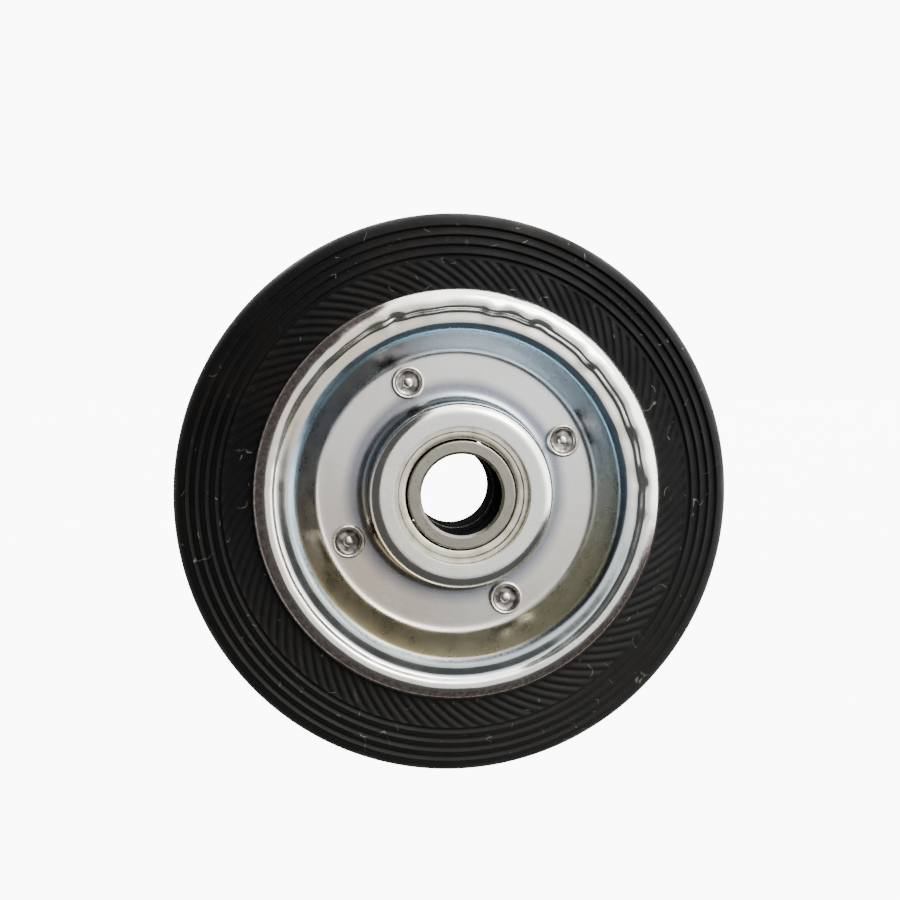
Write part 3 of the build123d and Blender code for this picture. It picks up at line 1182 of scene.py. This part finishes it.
class RoomLight:
    """The world's node tree, with short calls for light that depends on direction."""

    def __init__(self, tree: bpy.types.NodeTree) -> None:
        """Start on a world's own tree."""
        self.tree = tree

    def math(self, operation: str, first: object, second: object) -> Socket:
        """One step of arithmetic on sockets or numbers."""
        node = self.tree.nodes.new("ShaderNodeMath")
        node.operation = operation
        for target, value in zip(node.inputs, (first, second)):
            if isinstance(value, bpy.types.NodeSocket):
                self.tree.links.new(value, target)
            else:
                target.default_value = value
        return node.outputs[0]

    def plus(self, first: object, second: object) -> Socket:
        """Add two levels."""
        return self.math("ADD", first, second)

    def times(self, first: object, *others: object) -> Socket:
        """Multiply levels."""
        for other in others:
            first = self.math("MULTIPLY", first, other)
        return first

    def facing(self) -> tuple[Socket, Socket, Socket]:
        """The direction that light comes from, as its X, Y and Z."""
        split = self.tree.nodes.new("ShaderNodeSeparateXYZ")
        self.tree.links.new(self.tree.nodes.new("ShaderNodeTexCoord").outputs["Generated"], split.inputs[0])
        return tuple(split.outputs)

    def edge(self, value: Socket, start: float, end: float) -> Socket:
        """A soft edge that rises from 0 at start to 1 at end."""
        node = self.tree.nodes.new("ShaderNodeMapRange")
        node.interpolation_type = "SMOOTHSTEP"
        self.tree.links.new(value, node.inputs["Value"])
        node.inputs["From Min"].default_value = start
        node.inputs["From Max"].default_value = end
        return node.outputs["Result"]

    def shine(self, level: Socket) -> None:
        """Make the level the world's strength."""
        background = self.tree.nodes["Background"]
        background.inputs["Color"].default_value = (1, 1, 1, 1)
        self.tree.links.new(level, background.inputs["Strength"])


@dataclass(frozen=True)
class Softbox:
    """A square lamp that faces the wheel."""

    name: str
    place: tuple[float, float, float]
    size: float
    power: float

    def hang(self) -> None:
        """Hang the softbox in the studio."""
        data = bpy.data.lights.new(self.name, "AREA")
        data.size = self.size
        data.energy = self.power
        lamp = bpy.data.objects.new(self.name, data)
        bpy.context.scene.collection.objects.link(lamp)
        lamp.location = self.place
        lamp.rotation_euler = (-Vector(self.place)).to_track_quat("-Z", "Y").to_euler()


@dataclass
class Studio:
    """Camera, floor, backdrop and light."""

    lens_share: float = 1071 / 900
    shift: Place = (0.0089, -0.1)
    camera_place: Vector = field(default_factory=lambda: Vector((-40.3, -343.0, 36.1)) * MM)
    looks_along: Vector = field(default_factory=lambda: Vector((0.104, 0.994, 0.016)))
    floor_size: float = 12.0
    sky_radius: float = 20.0
    white: float = 10.0
    dimmest: float = 0.10
    front: float = 1.2
    ceiling: float = 3.6
    behind: float = 1.5
    dark_from: float = -0.33
    bright_from: float = -0.19
    corner_ease: float = 0.05
    ceiling_from: float = 0.1
    ceiling_to: float = 0.9
    behind_from: float = 0.12
    behind_to: float = 0.5
    softboxes: tuple[Softbox, ...] = (
        Softbox("key_softbox", (0.55, -0.75, 0.75), 0.7, 14),
        Softbox("back_softbox", (-0.45, 0.80, 0.70), 0.6, 9),
    )

    def set_camera(self) -> None:
        """Put the camera where the photograph was taken from."""
        data = bpy.data.cameras.new("camera")
        camera = bpy.data.objects.new("camera", data)
        bpy.context.scene.collection.objects.link(camera)
        data.lens = data.sensor_width * self.lens_share
        data.shift_x, data.shift_y = self.shift
        data.clip_start, data.clip_end = 0.01, 100
        camera.location = self.camera_place
        camera.rotation_euler = self.looks_along.to_track_quat("-Z", "Y").to_euler()
        bpy.context.scene.camera = camera

    def lay_floor(self) -> None:
        """Lay the pale floor under the wheel."""
        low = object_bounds()[0].z
        deselect_all()
        bpy.ops.mesh.primitive_plane_add(size=self.floor_size, location=(0, 0, low))
        self.make_backdrop("floor")

    def hang_backdrop(self) -> None:
        """Close the studio with a white backdrop all round."""
        deselect_all()
        bpy.ops.mesh.primitive_uv_sphere_add(radius=self.sky_radius, segments=48, ring_count=24)
        self.make_backdrop("backdrop")

    def make_backdrop(self, name: str) -> None:
        """Make the active object an even white that is seen but lights nothing."""
        piece = bpy.context.object
        piece.name = name
        shader = Shader(f"white_{name}")
        white = shader.finish(
            Base_Color=(0.0, 0.0, 0.0), Roughness=1.0, Emission_Color=(1.0, 1.0, 1.0), Emission_Strength=self.white
        )
        dress(piece, white)
        piece.visible_glossy = piece.visible_diffuse = piece.visible_shadow = False
        piece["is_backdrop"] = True

    def light(self) -> None:
        """Light the room: bright above and to the right, dark below and to the left."""
        world = bpy.data.worlds.new("studio")
        bpy.context.scene.world = world
        world.use_nodes = True
        room = RoomLight(world.node_tree)
        across, along, up = room.facing()
        lit = room.times(
            room.edge(across, self.dark_from, self.bright_from),
            room.edge(up, self.dark_from, self.bright_from),
            room.edge(room.plus(across, up), self.dark_from, self.bright_from + self.corner_ease),
        )
        ceiling = room.edge(room.plus(across, up), self.ceiling_from, self.ceiling_to)
        level = room.plus(room.times(ceiling, self.ceiling), self.front)
        behind = room.edge(along, self.behind_from, self.behind_to)
        total = room.plus(room.plus(room.times(lit, level), self.dimmest), room.times(behind, self.behind))
        room.shine(total)
        for box in self.softboxes:
            box.hang()


def main() -> None:
    """Build the studio and every piece, in order."""
    logging.basicConfig(level=logging.INFO, format="%(name)s: %(message)s")
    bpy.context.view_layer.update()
    studio = Studio()
    studio.set_camera()
    studio.light()
    studio.lay_floor()
    studio.hang_backdrop()

    pressing = Pressing()
    zinc = ZincFinish().make()
    pieces = [Tyre(pressing).build(RubberFinish())]
    pieces += [Disc(pressing, side).build(zinc) for side in Side]
    rivet_finish = RivetFinish().make()
    for number, angle in enumerate(Disc(pressing, Side.FRONT).rivet_angles, start=1):
        pieces.append(Rivet(pressing, number, angle).build(rivet_finish))
    shield = PlainSteelFinish("shield_plate", (0.80, 0.77, 0.64), (0.55, 0.52, 0.40), 0.18).make()
    ground = GroundSteelFinish().make()
    bore = BoreShadeFinish().make()
    for side in Side:
        pieces += BearingFace(side).build(ground, bore, shield)
    HubInside().dress_all(bore)
    for piece in pieces:
        LOG.info("%s: %d faces", piece.name, len(piece.data.polygons))
    deselect_all()


if __name__ == "__main__":
    main()
